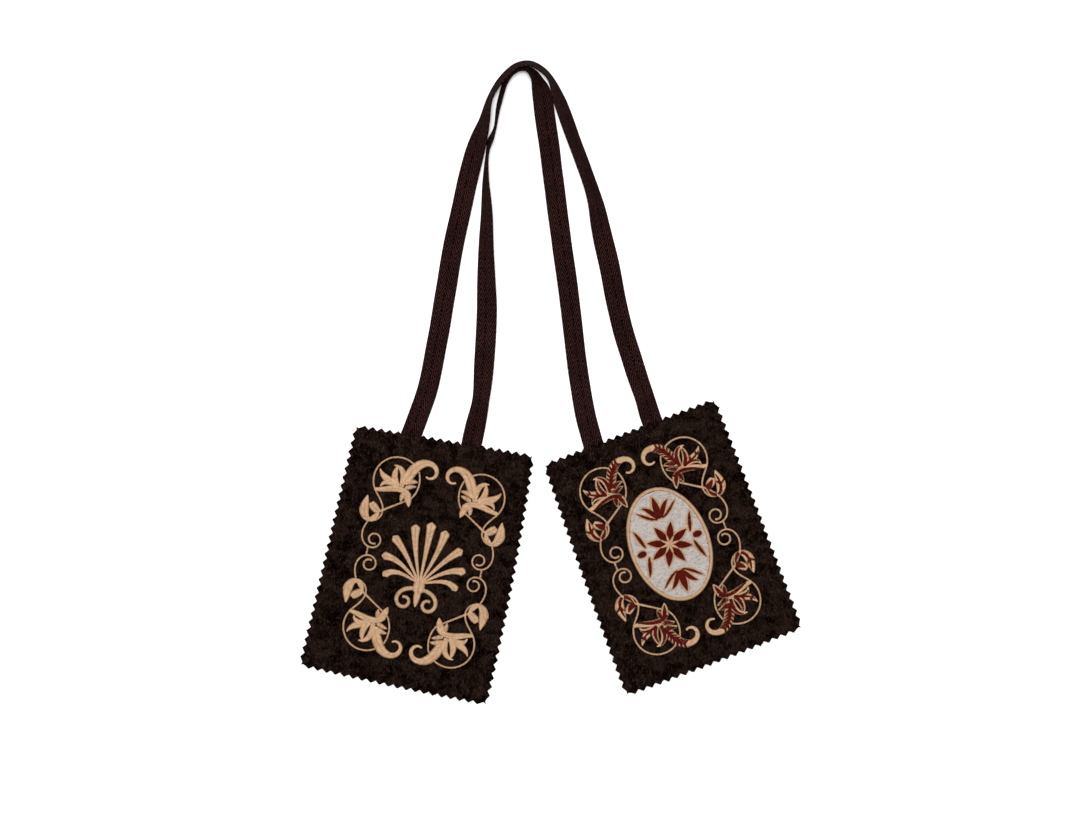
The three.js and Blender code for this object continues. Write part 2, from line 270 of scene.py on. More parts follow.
def startMaterial(name, roughness, sheen, sheenTint, sheenRoughness=0.5, specular=0.3):
    material = bpy.data.materials.new(name)
    material.use_nodes = True
    tree = material.node_tree
    shader = tree.nodes["Principled BSDF"]
    setInputs(shader, Roughness=roughness, Sheen_Weight=sheen, Sheen_Tint=sheenTint,
              Sheen_Roughness=sheenRoughness, Specular_IOR_Level=specular)
    return material, tree, shader


def addBump(tree, shader, height, strength, distance):  # distance in mm
    bump = tree.nodes.new("ShaderNodeBump")
    setInputs(bump, Strength=strength, Distance=distance * mm)
    tree.links.new(height, bump.inputs["Height"])
    tree.links.new(bump.outputs[0], shader.inputs["Normal"])


feltLook = {
    "dark": (1, 0, 0),
    "middle": (18, 11, 8),
    "light": (60, 44, 38),
    "roughness": 1.0,
    "sheen": 0.004,
    "cloudScale": 190,
    "fleckScale": 1150,
    "fleckShare": 0.65,
    "darkRange": (0.68, 0.98),
    "streakRange": (0.60, 0.80),
    "streakShare": 0.8,
    "patchRange": (0.38, 0.62, 0.25, 1.0),
    "bump": (0.9, 0.5),  # strength, and mm
}


def makeFelt():
    material, tree, shader = startMaterial(
        "heatheredFelt", feltLook["roughness"], feltLook["sheen"], linear(120, 92, 76), 0.5, 0.0)
    place = tree.nodes.new("ShaderNodeTexCoord").outputs["Object"]
    cloud = addNoise(tree, place, feltLook["cloudScale"], detail=4.0, rough=0.62, distortion=0.4)
    fleck = addNoise(tree, place, feltLook["fleckScale"], detail=3.0, rough=0.6)
    middling = addMath(tree, "MULTIPLY_ADD", fleck, feltLook["fleckShare"], cloud)
    tone = addRange(tree, middling, *feltLook["darkRange"])
    colour = addMix(tree, tone, linear(*feltLook["dark"]), linear(*feltLook["middle"]))
    streaks = placeGroup(tree, fibreStreaks, place)
    start, full = feltLook["streakRange"]
    setInputs(streaks, Start=start, Full=full)
    patches = addRange(tree, cloud, *feltLook["patchRange"])
    patchy = addMath(tree, "MULTIPLY", streaks.outputs["Mask"], patches)
    pale = addMath(tree, "MULTIPLY", patchy, feltLook["streakShare"])
    colour = addMix(tree, pale, colour, linear(*feltLook["light"]))
    tree.links.new(colour, shader.inputs["Base Color"])
    height = addMath(tree, "MULTIPLY_ADD", fleck, 0.8, addMath(tree, "MULTIPLY_ADD", patchy, 0.5, cloud))
    addBump(tree, shader, height, *feltLook["bump"])
    return material


tapeLook = {
    # painted shade: the colour painted in the grooves between the ribs
    "groove": (1, 0, 0),
    "rib": (57, 33, 32),
    # painted highlight: the colour of light reddish specks over the weave
    "worn": (96, 62, 52),
    "roughness": 0.95,
    "sheen": 0.004,
    "ribRange": (0.14, 0.60),
    "wearScale": 1500,
    "wearRange": (0.56, 0.74),
    "wearShare": 0.5,
    "shadeScale": 75,
    "shadeRange": (0.35, 0.65, 0.72, 1.0),
    "bump": (0.9, 0.3),  # strength, and mm
}


def makeTapeCloth():
    material, tree, shader = startMaterial(
        "wovenTape", tapeLook["roughness"], tapeLook["sheen"], linear(140, 100, 96), 0.45, 0.02)
    run = tree.nodes.new("ShaderNodeUVMap")
    run.uv_map = "clothRun"
    weave = placeGroup(tree, twillWeave, run.outputs[0])
    # painted shade: where the weave's mask is low, the colour turns to the groove shade
    tone = addRange(tree, weave.outputs["Mask"], *tapeLook["ribRange"])
    colour = addMix(tree, tone, linear(*tapeLook["groove"]), linear(*tapeLook["rib"]))
    place = tree.nodes.new("ShaderNodeTexCoord").outputs["Object"]
    # painted highlight: light reddish specks scattered over the weave
    highlightNoise = addNoise(tree, place, tapeLook["wearScale"], detail=3.0, rough=0.7)
    highlightMask = addMath(tree, "MULTIPLY", addRange(tree, highlightNoise, *tapeLook["wearRange"]), tapeLook["wearShare"])
    colour = addMix(tree, highlightMask, colour, linear(*tapeLook["worn"]))
    clouds = addNoise(tree, place, tapeLook["shadeScale"], detail=3.0, rough=0.65)
    shade = addRange(tree, clouds, *tapeLook["shadeRange"])
    grey = tree.nodes.new("ShaderNodeCombineColor")
    for socket in grey.inputs:
        tree.links.new(shade, socket)
    colour = addMix(tree, 1.0, colour, grey.outputs[0], "MULTIPLY")
    tree.links.new(colour, shader.inputs["Base Color"])
    addBump(tree, shader, weave.outputs["Height"], *tapeLook["bump"])
    return material


def makeThread(name, deep, pale, roughness=0.5, sheen=0.06, specular=0.22):
    material, tree, shader = startMaterial(name, roughness, sheen, linear(*pale), 0.35, specular)
    tone = tree.nodes.new("ShaderNodeAttribute")
    tone.attribute_name = "strandTone"
    colour = addMix(tree, tone.outputs["Fac"], linear(*deep), linear(*pale))
    tree.links.new(colour, shader.inputs["Base Color"])
    run = tree.nodes.new("ShaderNodeUVMap")
    run.uv_map = "threadRun"
    addBump(tree, shader, placeGroup(tree, threadPly, run.outputs[0]).outputs["Height"], *plyLook["bump"])
    return material


feltMaterial = makeFelt()
tapeMaterial = makeTapeCloth()
threads = {
    "tan_thread": makeThread("tanThread", (149, 116, 86), (177, 146, 116)),
    "cream_thread": makeThread("creamThread", (143, 136, 132), (182, 174, 169)),
    "maroon_thread": makeThread("maroonThread", (54, 5, 2), (78, 14, 7), sheen=0.0, specular=0.05),
}
tapeThread = makeThread("tapeSewingThread", (24, 13, 11), (44, 27, 24), specular=0.08)
looseFibre = makeThread("looseFibre", (6, 3, 2), (88, 68, 55), roughness=0.9, sheen=0.0, specular=0.02)
print("materials made")


# the two shoulder tapes

tapeShape = {
    "width": 10.3,  # mm
    "thickness": 0.9,
    "step": 1.0,  # mm between cross-sections
    "sectionPoints": 28,
    "edgePower": 0.34,  # how square the woven edge is
    "sewnEnd": 15,  # mm that lie flat under the felt
    "easeLength": 20,
    "waver": 0.22,  # mm sideways
    "leanWaver": 5,  # degrees
    "cup": 0.35,
    "waves": 0.22,
    "gap": 0.06,  # mm above the table
}
# x, y in mm and lean in degrees; lean 0 lies flat, 90 stands on its outer edge
outerTapeRoute = (
    (-75.5, -39, 0), (-69, -23.5, 0), (-61.8, -3, 2), (-56.5, 22, 4), (-50, 62, 6), (-43.7, 92, 12),
    (-38.9, 112, 16), (-35.7, 122.5, 33), (-33.3, 130.5, 55), (-30.3, 142, 74), (-24.1, 151.9, 69),
    (-17.1, 158.1, 69), (-10.7, 159.2, 69), (-4.5, 156.3, 70), (0.1, 151.3, 70), (3.9, 142, 54), (7.45, 132, 49),
    (14.5, 113, 47), (21.7, 92, 43), (24.7, 78, 24), (28.5, 62, 6), (34.5, 32, 9), (40.5, 12, 2),
    (47, -8, 18), (49.9, -17.3, 0), (56, -33, 0))
innerTapeRoute = (
    (-42.5, -44.5, 0), (-39.3, -28.5, 0), (-35.2, -9, 32), (-33.3, 11, 10), (-32, 34.5, 10), (-32.4, 67, 42),
    (-32.2, 86, 59), (-32.4, 102, 72), (-31.6, 115, 82), (-30.1, 121.3, 74), (-27.8, 127.5, 81), (-26, 138, 75),
    (-23.4, 148, 74), (-21.5, 152.1, 70), (-18.8, 155.1, 69), (-15.2, 156.8, 69), (-11.4, 156.5, 69),
    (-8.9, 154.5, 63), (-7.0, 151.5, 57), (-5.4, 147.5, 36), (-4.1, 142, 16), (-3.1, 134.5, 5), (-0.7, 117, 10),
    (4.4, 77, 14), (9.2, 42, 14), (12.7, 13, 18), (16.6, -13, 8), (20.3, -27.5, 0), (24.7, -42, 0))


def smoothRoute(rows, step):  # a smooth curve through the rows, sampled evenly
    points = np.array(rows, float)
    gaps = np.maximum(np.linalg.norm(np.diff(points * (1, 1, 0.1), axis=0), axis=1) ** 0.5, 1e-6)
    times = runOf(gaps)
    slopes = np.gradient(points, times, axis=0)
    dense = []
    for i in range(len(points) - 1):
        width = times[i + 1] - times[i]
        for t in np.linspace(0, 1, 60, endpoint=False):
            blend = (2 * t**3 - 3 * t**2 + 1, t**3 - 2 * t**2 + t, -2 * t**3 + 3 * t**2, t**3 - t**2)
            dense.append(blend[0] * points[i] + blend[1] * width * slopes[i]
                         + blend[2] * points[i + 1] + blend[3] * width * slopes[i + 1])
    dense = np.array(dense + [points[-1]])
    run = runOf(np.linalg.norm(np.diff(dense[:, :2], axis=0), axis=1))
    even = np.linspace(0, run[-1], int(run[-1] / step) + 1)
    return even, np.stack([np.interp(even, run, dense[:, k]) for k in range(3)], 1)


def makeTape(name, node, route, seed):
    run, stations = smoothRoute(route, tapeShape["step"])
    width, thickness, power = tapeShape["width"], tapeShape["thickness"], tapeShape["edgePower"]
    around = tapeShape["sectionPoints"]
    section = []
    for k in range(around + 1):
        angle = 2 * pi * (k + 0.5) / around
        side, top = cos(angle), sin(angle)
        section.append((copysign(abs(side) ** power, side) * width / 2,
                        copysign(abs(top) ** power, top) * thickness / 2))
    distances = runOf(np.linalg.norm(np.diff(np.array(section), axis=0), axis=1))
    bm = bmesh.new()
    bmesh.ops.create_grid(bm, x_segments=around, y_segments=len(run) - 1, size=0.5)
    layer = bm.loops.layers.uv.new("clothRun")
    tangents = np.gradient(stations[:, :2], axis=0)
    tangents /= np.linalg.norm(tangents, axis=1)[:, None]
    homes = {}
    for vertex in bm.verts:
        k = round((vertex.co.x + 0.5) * around)
        i = round((vertex.co.y + 0.5) * (len(run) - 1))
        x, y, lean = stations[i]
        free = smooth((min(run[i], run[-1] - run[i]) - tapeShape["sewnEnd"]) / tapeShape["easeLength"])
        lean += free * tapeShape["leanWaver"] * drift(run[i] / 21, seed, 0.3)
        slide = free * tapeShape["waver"] * drift(run[i] / 17, seed, 4.7)
        turn = radians(max(lean, 0))
        inward = Vector((tangents[i][1], -tangents[i][0], 0))
        across = inward * cos(turn) + Vector((0, 0, sin(turn)))
        up = across.cross(Vector((*tangents[i], 0)))
        rise = (width / 2) * sin(turn) + (thickness / 2) * cos(turn) + tapeShape["gap"]
        offset, height = section[k]
        hollow = drift(run[i] / 30, seed, 9.1) * (1 - (2 * offset / width) ** 2)
        ridge = max(drift(run[i] / 26, offset / 14, seed), 0)
        bulge = free * (tapeShape["cup"] * hollow + tapeShape["waves"] * ridge)
        middle = Vector((x, y, rise)) + inward * slide
        spot = middle + across * offset + up * (height + bulge)
        vertex.co = Vector((spot.x, spot.y, max(spot.z, tapeShape["gap"] / 2))) * mm
        homes[vertex.index] = (distances[k], run[i])
    bm.verts.index_update()
    for face in bm.faces:
        for loop in face.loops:
            loop[layer].uv = homes[loop.vert.index]
    bmesh.ops.remove_doubles(bm, verts=bm.verts, dist=0.01 * mm)
    closeUp(bm)
    tape = linkObject(name, meshFrom(bm, name), tapeMaterial)
    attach(tape, "root")
    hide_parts(node)
    return tape, run[-1]


outerTape, outerLength = makeTape("outer_shoulder_tape", "tape_outer", outerTapeRoute, 3.0)
innerTape, innerLength = makeTape("inner_shoulder_tape", "tape_inner", innerTapeRoute, 8.0)
print("tapes made:", round(outerLength), "and", round(innerLength), "mm long")


# the wool panels

feltShape = {
    "thickness": 2.2,  # mm
    "toothPitch": 4.5,
    "toothDepth": 1.7,
    "cellsPerHalfTooth": 3,
    "tapeBump": 1.08,
    "tapeSlope": 1.7,
    "undulation": 0.9,
    "waveLength": 38,
    "curlReach": 26,
    "lump": 0.10,
    "cell": 0.75,  # mm between points
    # where the five rows nearest the edge would be and where they are, mm
    "edgeSpacing": ((0, 0.75, 1.5, 2.25, 3.0, 3.75), (0, 0.35, 1.0, 1.95, 2.9, 3.75)),
    "toothShare": (1, 0.95, 0.8, 0.5, 0.2, 0),  # of the teeth, on those rows
    "topRound": (0.60, 0.86, 0.97, 1),  # shares of the thickness
    "bottomRound": (0.34, 0.10, 0.02, 0),
}
panelShapes = {
    "left": {
        "topLeft": (-97.4, -21.2), "topRight": (-8.9, -36.2), "bottomRight": (-32.4, -160.3),
        "bottomLeft": (-125.3, -140.5), "bow": {"left": 0, "bottom": 0.7, "right": 1.5, "top": 0.2},
        "middle": (-63.4, -89.3), "turn": -11.7, "seed": 2.0,
        "curls": ((-8.9, -36.2, 1.3), (-125.3, -140.5, 0.9)),
    },
    "right": {
        "topLeft": (-3.4, -40.8), "topRight": (81.7, -8), "bottomRight": (125.2, -121.9),
        "bottomLeft": (37.6, -155.6), "bow": {"left": 0.5, "bottom": 0.7, "right": 0.4, "top": 0.3},
        "middle": (59.5, -81), "turn": 20.9, "seed": 7.0,
        "curls": ((37.6, -155.6, 1.2), (125.2, -121.9, 0.7)),
    },
}


def tapeEnds():
    ends = {"left": [], "right": []}
    for route in (outerTapeRoute, innerTapeRoute):
        for side, (end, edge) in (("left", route[:2]), ("right", (route[-1], route[-2]))):
            start = Vector(end[:2])
            ends[side].append((start, (Vector(edge[:2]) - start).normalized()))
    return ends


endsUnder = tapeEnds()


def feltLift(side, x, y):  # mm the felt stands off the table at x, y (mm)
    panel = panelShapes[side]
    wave = drift(x / feltShape["waveLength"], y / feltShape["waveLength"], panel["seed"])
    lift = feltShape["undulation"] * max(wave + 0.12, 0)
    for curlX, curlY, amount in panel["curls"]:
        lift += amount * smooth(1 - hypot(x - curlX, y - curlY) / feltShape["curlReach"])
    here = Vector((x, y))
    bump = 0
    slope = feltShape["tapeSlope"]
    for start, along in endsUnder[side]:
        reach = here - start
        beside = smooth((tapeShape["width"] / 2 + slope - abs(reach.cross(along))) / slope)
        bump = max(bump, beside * smooth((reach.dot(along) + slope) / slope) * feltShape["tapeBump"])
    return max(lift, bump)


def feltTop(side, x, y):
    return feltShape["thickness"] + feltLift(side, x, y)


def tooth(step):  # +1 at a tooth's tip, -1 in a notch
    phase = step / feltShape["cellsPerHalfTooth"]
    saw = 1 - 2 * abs((phase + 1) % 2 - 1)
    return 0.72 * saw + 0.28 * cos(pi * phase)


def cornersOfPanel(panel):
    return [Vector(panel[key]) for key in ("bottomLeft", "bottomRight", "topRight", "topLeft")]


def sidePoint(panel, a, b):  # a and b run 0 to 1 across and up the panel
    corners = cornersOfPanel(panel)
    low = corners[0].lerp(corners[1], a)
    high = corners[3].lerp(corners[2], a)
    point = low.lerp(high, b)
    rightward = (corners[1].lerp(corners[2], b) - corners[0].lerp(corners[3], b)).normalized()
    upward = (high - low).normalized()
    bow = panel["bow"]
    point += rightward * 4 * b * (1 - b) * (bow["right"] * a - bow["left"] * (1 - a))
    point += upward * 4 * a * (1 - a) * (bow["top"] * b - bow["bottom"] * (1 - b))
    return point, rightward, upward


def makePanel(side):
    panel = panelShapes[side]
    lowLeft, lowRight, highRight, highLeft = cornersOfPanel(panel)
    wide = ((highRight - highLeft).length + (lowRight - lowLeft).length) / 2
    tall = ((highLeft - lowLeft).length + (highRight - lowRight).length) / 2
    fine, cell = feltShape["cellsPerHalfTooth"], feltShape["cell"]
    spacing, toothShare = feltShape["edgeSpacing"], feltShape["toothShare"]
    columns = 2 * round(wide / feltShape["toothPitch"]) * fine
    rows = 2 * round(tall / feltShape["toothPitch"]) * fine

    def eased(index, count, length):  # rows crowd together near the pinked edge
        near = min(index, count - index)
        gap = length / count
        bunched = np.interp(near * cell, *spacing) + max(near * cell - spacing[0][-1], 0)
        share = (near * gap + bunched - near * cell) / length
        return share if index * 2 <= count else 1 - share

    bm = bmesh.new()
    bmesh.ops.create_grid(bm, x_segments=columns, y_segments=rows, size=0.5)
    places = {}
    for vertex in bm.verts:
        i = round((vertex.co.x + 0.5) * columns)
        j = round((vertex.co.y + 0.5) * rows)
        point, rightward, upward = sidePoint(panel, eased(i, columns, wide), eased(j, rows, tall))
        half = feltShape["toothDepth"] / 2
        for near, other, way in ((i, j, -rightward), (columns - i, j, rightward),
                                 (j, i, -upward), (rows - j, i, upward)):
            if near < len(toothShare):
                point += way * half * tooth(other) * toothShare[near]
        places[vertex.index] = (point, min(i, columns - i, j, rows - j))
    for vertex in bm.verts:
        point, rim = places[vertex.index]
        coarse = drift(point.x / 2.3, point.y / 2.3, 1)
        small = drift(point.x / 0.95, point.y / 0.95, 5)
        full = feltShape["thickness"] * feltShape["topRound"][min(rim, 3)]
        height = feltLift(side, *point) + full + feltShape["lump"] * (coarse + 0.6 * small)
        vertex.co = Vector((point.x, point.y, height)) * mm
    topFaces = list(bm.faces)
    topRim = [edge for edge in bm.edges if edge.is_boundary]
    copied = bmesh.ops.duplicate(bm, geom=topFaces)
    twins = copied["vert_map"]
    bottomVerts = [(vertex, twins[vertex]) for vertex in list(twins) if vertex.index in places]
    seen = set()
    for vertex, twin in bottomVerts:
        if vertex in seen or twin in seen:
            continue
        seen.update((vertex, twin))
        point, rim = places[vertex.index]
        rise = feltShape["thickness"] * feltShape["bottomRound"][min(rim, 3)]
        twin.co = Vector((point.x, point.y, feltLift(side, *point) + rise + 0.02)) * mm
    bottomFaces = [item for item in copied["geom"] if isinstance(item, bmesh.types.BMFace)]
    bmesh.ops.reverse_faces(bm, faces=bottomFaces)
    bottomRim = [edge for edge in bm.edges if edge.is_boundary and edge not in set(topRim)]
    bmesh.ops.bridge_loops(bm, edges=topRim + bottomRim)
    felt = linkObject(f"{side}_felt_panel", meshFrom(bm, f"{side}Felt"), feltMaterial)
    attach(felt, "root")
    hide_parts(f"wool_panel_{side}")
    return felt, wide, tall


felts = {side: makePanel(side) for side in panelShapes}
print("felt panels made:", [len(felt[0].data.polygons) for felt in felts.values()], "faces")


# strands of thread, laid one by one and swept as round threads

def onPanel(side, points, signU=1, signV=1):
    panel = panelShapes[side]
    turn = radians(panel["turn"])
    placed = []
    for u, v, height in points:
        u, v = u * signU, v * signV
        x = panel["middle"][0] + u * cos(turn) - v * sin(turn)
        y = panel["middle"][1] + u * sin(turn) + v * cos(turn)
        placed.append((x, y, feltTop(side, x, y) + height))
    return placed


def makeStrands(name, strands, material):  # each strand is points in mm, thread radius in mm and tone
    curve = bpy.data.curves.new(name, "CURVE")
    curve.dimensions = "3D"
    curve.bevel_depth = mm
    curve.bevel_resolution = 0
    for points, radii, tone in strands:
        spline = curve.splines.new("POLY")
        spline.points.add(len(points) - 1)
        spline.points.foreach_set(
            "co", [value for x, y, z in points for value in (x * mm, y * mm, z * mm, 1)])
        spline.points.foreach_set("radius", radii)
    swept = addObject(name + "Sweep", curve)
    unclosed = bpy.data.meshes.new_from_object(swept.evaluated_get(bpy.context.evaluated_depsgraph_get()))
    bpy.data.objects.remove(swept)
    bpy.data.curves.remove(curve)
    bm = bmesh.new()
    bm.from_mesh(unclosed)
    bpy.data.meshes.remove(unclosed)
    closeUp(bm)
    mesh = meshFrom(bm, name)
    ring = len(mesh.vertices) // sum(len(points) for points, radii, tone in strands)
    runs, middles, asides, tones = [], [], [], []
    for points, radii, tone in strands:
        line = np.array(points)
        run = runOf(np.linalg.norm(np.diff(line, axis=0), axis=1))
        heading = np.gradient(line, axis=0)[:, :2]
        heading /= np.maximum(np.linalg.norm(heading, axis=1), 1e-9)[:, None]
        runs.append(np.repeat(run, ring))
        middles.append(np.repeat(line[:, :2], ring, axis=0))
        asides.append(np.repeat(np.stack([-heading[:, 1], heading[:, 0]], 1), ring, axis=0))
        tones.append(np.full(len(run) * ring, tone))
    spots = np.empty(len(mesh.vertices) * 3)
    mesh.vertices.foreach_get("co", spots)
    aside = ((spots.reshape(-1, 3)[:, :2] / mm - np.concatenate(middles)) * np.concatenate(asides)).sum(1)
    corners = np.empty(len(mesh.loops), int)
    mesh.loops.foreach_get("vertex_index", corners)
    for layer in list(mesh.uv_layers):
        mesh.uv_layers.remove(layer)
    layer = mesh.uv_layers.new(name="threadRun")
    layer.data.foreach_set("uv", np.stack([np.concatenate(runs), aside], 1)[corners].ravel())
    attribute = mesh.attributes.new("strandTone", "FLOAT", "POINT")
    attribute.data.foreach_set("value", np.concatenate(tones).astype(np.float32))
    thing = linkObject(name, mesh, material)
    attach(thing, "root")
    return thing


# embroidered strokes: a bent line with a width at its start, pull and end

threadShape = {
    "radius": 0.21,  # mm
    "spacing": 0.36,
    "bluntTip": 0.35,
    "slant": 14,  # degrees off square, on narrow lines
    "leafSlant": 40,
    "splitOver": 3.0,  # wider strokes are worked in two halves from a middle vein
    "ragged": 0.07,
    "tuck": 0.12,  # mm the ends sink, since the thread's own width makes up the rest
}
ringBend = -4.9
smallRingBend = 10.2


# vein: mm between side veins, 0 for a middle vein alone, None for no vein
def stroke(u, v, heading, length, bends, widths, lift=0.0, vein=None):
    return {"u": u, "v": v, "heading": heading, "length": length, "bends": bends, "widths": widths,
            "lift": lift, "vein": vein}


line = (1.0, 1.0, 1.0)
vineQuarter = [stroke(*row) for row in (
    (12.5, 44.8, 50, 36.2, (ringBend, ringBend), line),
    (None, None, 0, 11.6, (-2.4, 9.6), line),
    (None, None, 0, 17.5, (smallRingBend, smallRingBend), line),
    (11.5, 43.7, 246, 16.1, (3.6, 4.9), line),
    (31.3, 15.2, -62, 37.5, (-2, -25.4), (1, 1, 1.1)),
    (29, 2.4, -90, 2.25, (0, 0), line, 0.04),
    (13.4, 29.3, -33, 16, (0, 0), (1, 1, 1.4), 0.06),
    (17.9, 36.6, 117, 17, (-2.5, 9.8), (4.2, 6.8, 3.2), 0.14, 1.9),
    (None, None, 0, 14, (9.8, 22), (3.2, 2.2, 1), 0.14),
    (17.4, 37.2, 172, 6.6, (-9, 16), (2.2, 4.2, 0.6), 0.10, 0),
    (16.8, 34.6, 172, 5.6, (-12, 16), (2, 3.6, 0.6), 0.12, 0),
    (20.4, 34.6, 24, 10.2, (-1, -20), (2.6, 4.6, 0.4), 0.12, 0),
    (18.7, 34.8, 101, 13.2, (-2, -15), (2.6, 5, 0.4), 0.18, 0),
    (20.4, 34.9, 34, 10.9, (11, 3), (2.6, 5, 0.4), 0.20, 0),
    (20, 34.6, 24, 13.2, (-3, 10), (2.8, 6, 0.4), 0.24, 4.6),
    (16.6, 32.4, -74, 5.2, (2, -12), (2.2, 4.2, 0.4), 0.18, 0),
    (15.8, 32.6, -124, 7.6, (5, 0), (2.6, 6, 0.4), 0.22, 0),
    (13.6, 30.8, 53, 19, (-10.6, 4.8), (2.2, 4.8, 1.6), 0.30, 0),
    (31, 15.3, 156, 6.8, (-10, -7), (2, 4.6, 0.8), 0.12, 0),
    (26.9, 20.2, 24, 6.4, (4, 6), (2, 6.4, 2.6), 0.16, 0),
    (31, 15.3, 14, 13.6, (15.5, -4.5), (2, 8.2, 0.4), 0.22, 6.2),
)]


def lobe(*row):  # a palmette lobe and its rounded tip
    bend, width = row[4][1], row[5][2]
    tip = stroke(None, None, 0, width * 0.62, (bend, bend), (width, width * 1.4, 0.5), row[6])
    return stroke(*row), tip


palmetteHalf = (
    stroke(0, -13.4, -4, 28.5, (-0.5, -27), (2.4, 2.4, 1.6)),
    *lobe(1.3, -10.2, 12, 16.5, (3, -9), (1.2, 1.6, 3.6), 0.04),
    *lobe(1.3, -9.8, 32, 20, (1.6, -4.6), (1.2, 1.6, 4), 0.08),
    *lobe(1, -9.5, 52, 23, (0.6, -1.6), (1.2, 1.6, 4.2), 0.12),
    *lobe(0.6, -9.5, 72, 25.5, (-0.2, 1), (1.2, 1.6, 4.4), 0.16),
)
palmetteMiddle = (
    *lobe(0, -9.5, 90, 27, (0, 0), (1.4, 1.6, 4.6), 0.20),
    stroke(0, -14, -90, 8.6, (0, 0), (3, 5, 0.5), 0.24),
    stroke(0, -8.8, -90, 6.4, (0, 0), (5, 7.2, 4.6), 0.34),
)


# each stroke's middle line and width, finely sampled; a row with no place goes on from the last
def walk(rows):
    paths = []
    for row in rows:
        joined = row["u"] is None
        if joined:
            u, v, heading = paths[-1]["end"]
            heading += row["heading"]
        else:
            u, v, heading = row["u"], row["v"], row["heading"]
        length, (bendStart, bendEnd) = row["length"], row["bends"]
        count = max(int(length / 0.2), 16)
        step = length / count

        def turned(s):
            return np.radians(heading + bendStart * s + (bendEnd - bendStart) * s * s / (2 * length))

        between = turned((np.arange(count) + 0.5) * step)
        run = np.arange(count + 1) * step
        t = run / length
        first, pull, last = row["widths"]
        widths = first * (1 - t) ** 2 + 2 * pull * t * (1 - t) + last * t * t
        widths = np.maximum(widths, threadShape["bluntTip"])
        parts = {"run": run, "heading": turned(run), "width": widths,
                 "u": u + runOf(np.cos(between) * step),
                 "v": v + runOf(np.sin(between) * step)}
        end = (parts["u"][-1], parts["v"][-1], degrees(parts["heading"][-1]))
        if joined:
            path = paths[-1]
            parts["run"] = run + path["run"][-1]
            for key, values in parts.items():
                path[key] = np.concatenate([path[key], values[1:]])
            path["end"] = end
        else:
            paths.append({**parts, "row": row, "end": end})
    return paths


def widthAt(path, s):
    return np.interp(s, path["run"], path["width"])


def edgePoint(path, s, share):  # share -1 to 1 across the stroke at run s
    u = np.interp(s, path["run"], path["u"])
    v = np.interp(s, path["run"], path["v"])
    heading = np.interp(s, path["run"], path["heading"])
    reach = share * widthAt(path, s) / 2
    return u + reach * sin(heading), v - reach * cos(heading)


def headingAt(path, s):  # degrees
    return degrees(np.interp(s, path["run"], path["heading"]))


def padOf(path):  # mm the middle of the satin stands up
    return 0.42 + 0.055 * max(path["width"])


def arch(start, end, heights, shares, lift):
    (u0, v0), (u1, v1) = start, end
    return [(u0 + (u1 - u0) * t, v0 + (v1 - v0) * t, lift + h) for h, t in zip(heights, shares)]


def strandsOf(path, dice):
    row = path["row"]
    length, lift = path["run"][-1], row["lift"]
    pad = padOf(path)
    radius, spacing = threadShape["radius"], threadShape["spacing"]
    strands = []
    split = max(path["width"]) > threadShape["splitOver"]
    lean = tan(radians(threadShape["leafSlant"] if split else threadShape["slant"]))

    def rag():
        return dice.uniform(-1, 1) * threadShape["ragged"]

    def add(points, thick=1.0):
        strands.append((points, [radius * thick] * len(points), toneOf(dice, 0.5, 0.32)))

    if split:
        for share in (-0.42, 0.42):  # padding stitches that run lengthwise under the satin
            steps = np.linspace(0.06 * length, 0.9 * length, max(int(length / 2), 4))
            under = [(*edgePoint(path, s, share), lift - 0.05 + 0.05 * widthAt(path, s)) for s in steps]
            add(under, 1.5)
    begin = -0.8 * lean * widthAt(path, 0) / 2 if split else 0  # a fan of threads closes the blunt start
    count = max(int((length - begin) / spacing), 2)
    for k in range(count):
        s = begin + (k + 0.5) * (length - begin) / count + rag()
        half = widthAt(path, s) / 2
        widen = max(1 - threadShape["tuck"] / half, 0.3)
        if split:
            ahead = half * lean * min((length - s) / (1.8 * half), 1)  # less slant keeps a blunt end round
            for side in (-1, 1):
                outer = edgePoint(path, s + ahead, side * (widen + rag() / max(half, 0.4)))
                inner = edgePoint(path, s - 0.12, -side * 0.1 / max(half, 0.3))
                add(arch(inner, outer, (pad - 0.24, pad, pad - 0.12, -0.12), (0, 0.34, 0.72, 1), lift))
        else:
            tilt = half * lean
            first = edgePoint(path, s - tilt, -(widen + rag() / half))
            second = edgePoint(path, s + tilt, widen + rag() / half)
            add(arch(first, second, (-0.12, pad - 0.08, pad - 0.08, -0.12), (0, 0.28, 0.72, 1), lift))
    return strands


def placeStrands(side, strands, signU=1, signV=1):
    return [(onPanel(side, points, signU, signV), radii, tone) for points, radii, tone in strands]


def veinsOf(path, gap):  # a vein down the middle of a petal with short side veins
    row = path["row"]
    length, (bendStart, bendEnd) = row["length"], row["bends"]
    cut = 0.86
    lift = row["lift"] + padOf(path) - 0.26
    begin = 0.04 * length
    start = edgePoint(path, begin, 0)
    heading = headingAt(path, begin)
    broad = (0.46 if gap else 0.7) * max(path["width"])
    bends = (bendStart, bendStart + (bendEnd - bendStart) * cut)
    widths = (max(broad, 1.2), broad * 1.4, 0.6)
    rows = [stroke(*start, heading, length * cut - begin, bends, widths, lift + 0.05)]
    for s in np.arange(gap, length * 0.8, gap) if gap else ():
        reach = widthAt(path, s) / 2 - 0.3
        if reach < 0.9:
            continue
        heading = headingAt(path, s)
        for side in (-1, 1):
            rows.append(stroke(*edgePoint(path, s, 0), heading - side * 46, reach * 1.35, (0, 0),
                               (2.4, 2.1, 0.5), lift))
    return walk(rows)


vinePaths = walk(vineQuarter)
cornersOf = {"top_right": (1, 1), "top_left": (-1, 1), "bottom_right": (1, -1), "bottom_left": (-1, -1)}
needlework = {"left": [], "right": []}
stitchedSpots = {"left": [], "right": []}


def stitch(side, name, strands, thread, *nodes):  # the thread's name picks its material from threads
    thing = makeStrands(name, strands, threads[thread])
    if nodes:
        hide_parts(*nodes)
    needlework[side].append(thing)
    stitchedSpots[side].extend((x, y) for points, radii, tone in strands for x, y, z in points)


